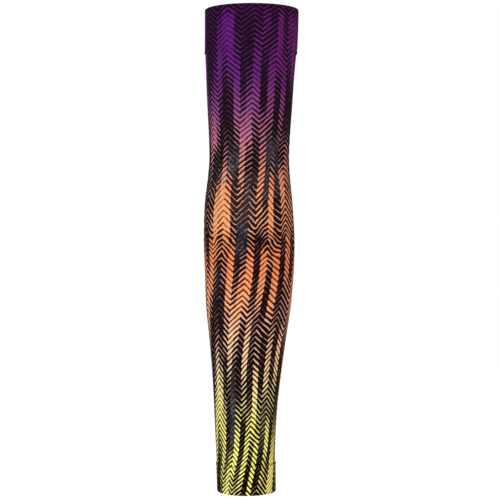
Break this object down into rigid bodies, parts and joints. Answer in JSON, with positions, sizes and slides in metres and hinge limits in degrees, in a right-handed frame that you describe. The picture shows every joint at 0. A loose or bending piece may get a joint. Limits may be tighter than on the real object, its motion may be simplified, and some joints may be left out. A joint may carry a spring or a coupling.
{
  "type": "arm sleeve",
  "caption": "Stretch arm sleeve: a long tapering knit tube from upper arm to wrist with folded hem bands, printed in herringbone that fades from purple through orange to yellow.",
  "frame": {"origin": "on the arm's axis, halfway down the upper band", "axes": "+Z along the arm towards the shoulder, -Y towards the front of the sleeve, +X to the right seen from the front"},
  "size_m": [0.0826, 0.0802, 0.42],
  "materials": {
    "printed_knit": "matte polyester and elastane knit, sublimation-printed with a herringbone over a purple, orange and yellow fade",
    "upper_band_knit": "the same knit folded double, printed purple on near-black",
    "wrist_band_knit": "the same knit folded double, printed yellow on near-black"
  },
  "bodies": {
    "root": {"sleeve_body": "printed_knit", "upper_band": "upper_band_knit", "wrist_band": "wrist_band_knit"}
  },
  "joints": []
}
